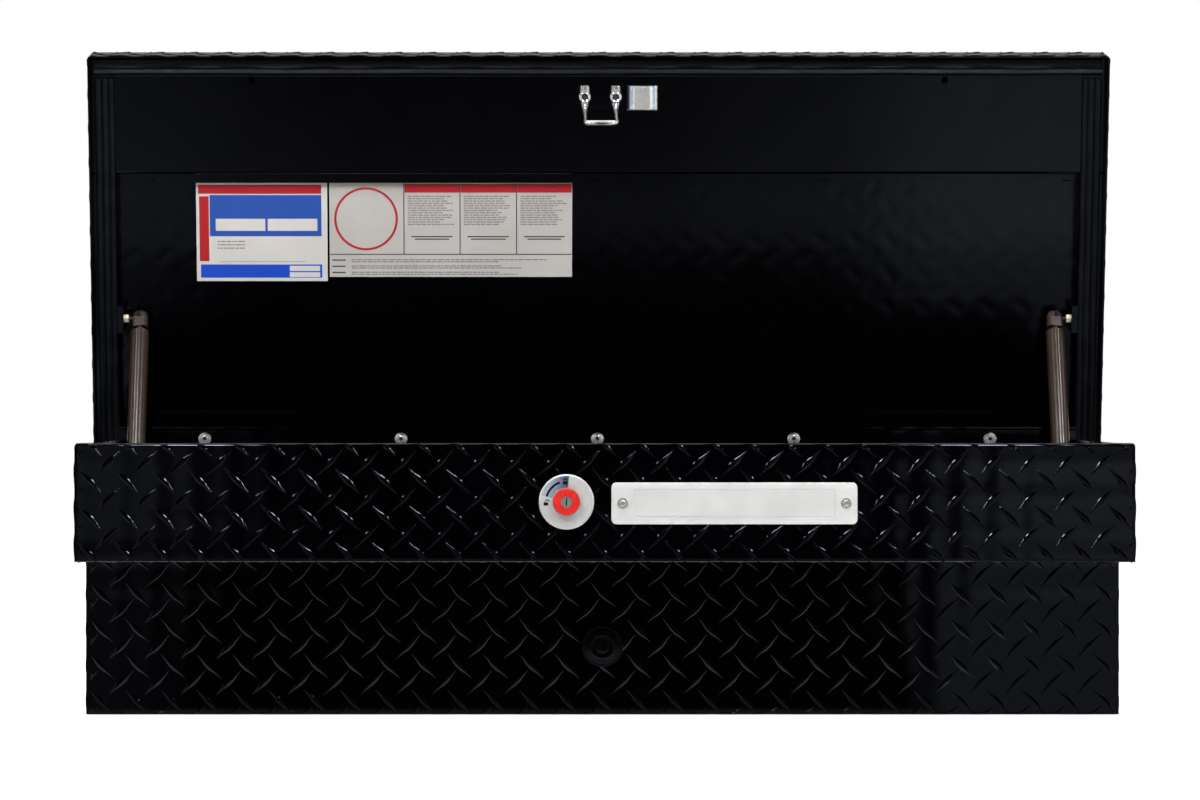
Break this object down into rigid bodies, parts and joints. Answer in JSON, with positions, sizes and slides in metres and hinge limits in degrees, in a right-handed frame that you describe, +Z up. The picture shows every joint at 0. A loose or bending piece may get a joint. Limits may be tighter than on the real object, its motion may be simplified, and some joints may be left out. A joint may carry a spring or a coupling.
{
  "type": "low-side truck tool box",
  "caption": "Stepped tread-plate truck bed tool box with a front overhang, full-length hinged lid on gas struts, ribbed seals, push-button lock and claw latch.",
  "frame": {"origin": "middle of the tub's flat bottom", "axes": "+X along the box to the right when facing its lock, -Y to the front, +Z up"},
  "size_m": [1.2, 0.5111, 0.7642],
  "materials": {
    "tub_tread": "black powder coat over diamond tread sheet, glossy",
    "left_end_black": "smooth black powder coat, semi-gloss",
    "right_end_black": "smooth black powder coat, semi-gloss",
    "apron_tread": "black powder coat over diamond tread sheet, glossy",
    "plug_rubber": "black moulded rubber, satin",
    "plate_satin": "satin silver",
    "plate_rivet_steel": "bright steel",
    "lid_tread": "black powder coat over diamond tread sheet, glossy",
    "channel_black": "smooth black powder coat, semi-gloss",
    "left_rail_black": "smooth black powder coat, semi-gloss",
    "right_rail_black": "smooth black powder coat, semi-gloss",
    "front_foam": "black foam rubber",
    "left_foam": "black foam rubber",
    "right_foam": "black foam rubber",
    "striker_zinc": "bright zinc plating, satin",
    "striker_rivet_zinc": "bright zinc plating, satin",
    "catch_zinc": "bright zinc plating, satin",
    "card_blue": "white printed card with a blue panel",
    "card_red": "white printed card with red headings",
    "body_leaf_zinc": "bright zinc plating, satin",
    "lid_leaf_zinc": "bright zinc plating, satin",
    "pin_steel": "bright steel",
    "wall_rivet_zinc": "bright zinc plating, satin",
    "skirt_rivet_zinc": "bright zinc plating, satin",
    "bezel_satin": "satin silver",
    "housing_zinc": "bright zinc plating, satin",
    "nut_zinc": "bright zinc plating, satin",
    "button_red": "glossy red",
    "key_satin": "satin silver",
    "button_spring_steel": "bright steel",
    "frame_zinc": "bright zinc plating, satin",
    "claw_zinc": "bright zinc plating, satin",
    "claw_pin_steel": "bright steel",
    "claw_spring_steel": "bright steel",
    "pawl_zinc": "bright zinc plating, satin",
    "pawl_spring_steel": "bright steel",
    "stud_zinc": "bright zinc plating, satin",
    "left_upper_stud_zinc": "bright zinc plating, satin",
    "left_upper_end": "dark moulded socket",
    "left_cylinder_black": "dark bronze gas cylinder, glossy",
    "left_rod_dark": "black nitrided rod",
    "left_lower_end": "dark moulded socket",
    "left_lower_stud_zinc": "bright zinc plating, satin",
    "left_block_black": "smooth black powder coat, semi-gloss",
    "left_bracket_black": "smooth black powder coat, semi-gloss",
    "right_upper_stud_zinc": "bright zinc plating, satin",
    "right_upper_end": "dark moulded socket",
    "right_cylinder_black": "dark bronze gas cylinder, glossy",
    "right_rod_dark": "black nitrided rod",
    "right_lower_end": "dark moulded socket",
    "right_lower_stud_zinc": "bright zinc plating, satin",
    "right_block_black": "smooth black powder coat, semi-gloss",
    "right_bracket_black": "smooth black powder coat, semi-gloss"
  },
  "bodies": {
    "box": {"tub_wrap": "tub_tread", "left_end_panel": "left_end_black", "right_end_panel": "right_end_black", "front_apron": "apron_tread", "tub_plug": "plug_rubber", "nameplate": "plate_satin", "nameplate_rivets": "plate_rivet_steel", "hinge_body_leaf": "body_leaf_zinc", "hinge_pin": "pin_steel", "hinge_body_rivets": "wall_rivet_zinc", "lock_bezel": "bezel_satin", "lock_housing": "housing_zinc", "lock_nut": "nut_zinc", "button_spring": "button_spring_steel", "latch_frame": "frame_zinc", "claw_pin": "claw_pin_steel", "claw_spring": "claw_spring_steel", "pawl_spring": "pawl_spring_steel", "latch_studs": "stud_zinc", "left_tray_bracket": "left_bracket_black", "right_tray_bracket": "right_bracket_black"},
    "lid": {"lid_shell": "lid_tread", "lid_stiffener": "channel_black", "left_side_rail": "left_rail_black", "right_side_rail": "right_rail_black", "front_seal": "front_foam", "left_seal": "left_foam", "right_seal": "right_foam", "striker": "striker_zinc", "striker_rivets": "striker_rivet_zinc", "catch_plate": "catch_zinc", "record_card": "card_blue", "ruled_card": "card_red", "hinge_lid_leaf": "lid_leaf_zinc", "hinge_lid_rivets": "skirt_rivet_zinc", "left_strut_block": "left_block_black", "right_strut_block": "right_block_black", "left_lid_ball_stud": "left_upper_stud_zinc", "right_lid_ball_stud": "right_upper_stud_zinc"},
    "latch_claw": {"latch_claw": "claw_zinc"},
    "latch_pawl": {"latch_pawl": "pawl_zinc"},
    "lock_button": {"lock_button": "button_red"},
    "key_plug": {"lock_key_plug": "key_satin"},
    "left_strut_tube": {"left_upper_socket": "left_upper_end", "left_strut_tube": "left_cylinder_black"},
    "left_strut_rod": {"left_strut_rod": "left_rod_dark", "left_lower_socket": "left_lower_end", "left_tray_ball_stud": "left_lower_stud_zinc"},
    "right_strut_tube": {"right_upper_socket": "right_upper_end", "right_strut_tube": "right_cylinder_black"},
    "right_strut_rod": {"right_strut_rod": "right_rod_dark", "right_lower_socket": "right_lower_end", "right_tray_ball_stud": "right_lower_stud_zinc"}
  },
  "joints": [
    {"name": "lid_hinge", "type": "hinge", "parent": "box", "child": "lid", "pos_m": [0, 0.1594, 0.294], "axis": [-1, 0, 0], "range_deg": [-79.5, 0], "stiffness_Nm_per_rad": 12.5, "springref_deg": 62.17},
    {"name": "latch_claw_turn", "type": "hinge", "parent": "box", "child": "latch_claw", "pos_m": [0.0025, -0.2301, 0.221], "axis": [1, 0, 0], "range_deg": [0, 18], "stiffness_Nm_per_rad": 0.05, "springref_deg": -11.46},
    {"name": "latch_pawl_turn", "type": "hinge", "parent": "box", "child": "latch_pawl", "pos_m": [0.0025, -0.2616, 0.214], "axis": [1, 0, 0], "range_deg": [0, 8.14]},
    {"name": "lock_button_push", "type": "slide", "parent": "box", "child": "lock_button", "axis": [0, 1, 0], "range_m": [0, 0.006], "stiffness_N_per_m": 400, "springref_m": -0.004},
    {"name": "key_turn", "type": "hinge", "parent": "lock_button", "child": "key_plug", "pos_m": [-0.042, -0.3, 0.242], "axis": [0, 1, 0], "range_deg": [0, 90]},
    {"name": "left_strut_swing", "type": "hinge", "parent": "lid", "child": "left_strut_tube", "pos_m": [-0.544, 0.15286, 0.45002], "axis": [-1, 0, 0], "range_deg": [0, 58]},
    {"name": "left_strut_slide", "type": "slide", "parent": "left_strut_tube", "child": "left_strut_rod", "axis": [0, 0.3746, 0.9272], "range_m": [0, 0.1633]},
    {"name": "right_strut_swing", "type": "hinge", "parent": "lid", "child": "right_strut_tube", "pos_m": [0.544, 0.15286, 0.45002], "axis": [-1, 0, 0], "range_deg": [0, 58]},
    {"name": "right_strut_slide", "type": "slide", "parent": "right_strut_tube", "child": "right_strut_rod", "axis": [0, 0.3746, 0.9272], "range_m": [0, 0.1633]}
  ],
  "couplings": [
    {"joint": "latch_pawl_turn", "follows": "latch_claw_turn", "ratio": 0.4517},
    {"joint": "left_strut_swing", "follows": "lid_hinge", "ratio": -0.7287},
    {"joint": "left_strut_slide", "follows": "lid_hinge", "m_per_rad": -0.11757},
    {"joint": "right_strut_swing", "follows": "lid_hinge", "ratio": -0.7287},
    {"joint": "right_strut_slide", "follows": "lid_hinge", "m_per_rad": -0.11757}
  ]
}
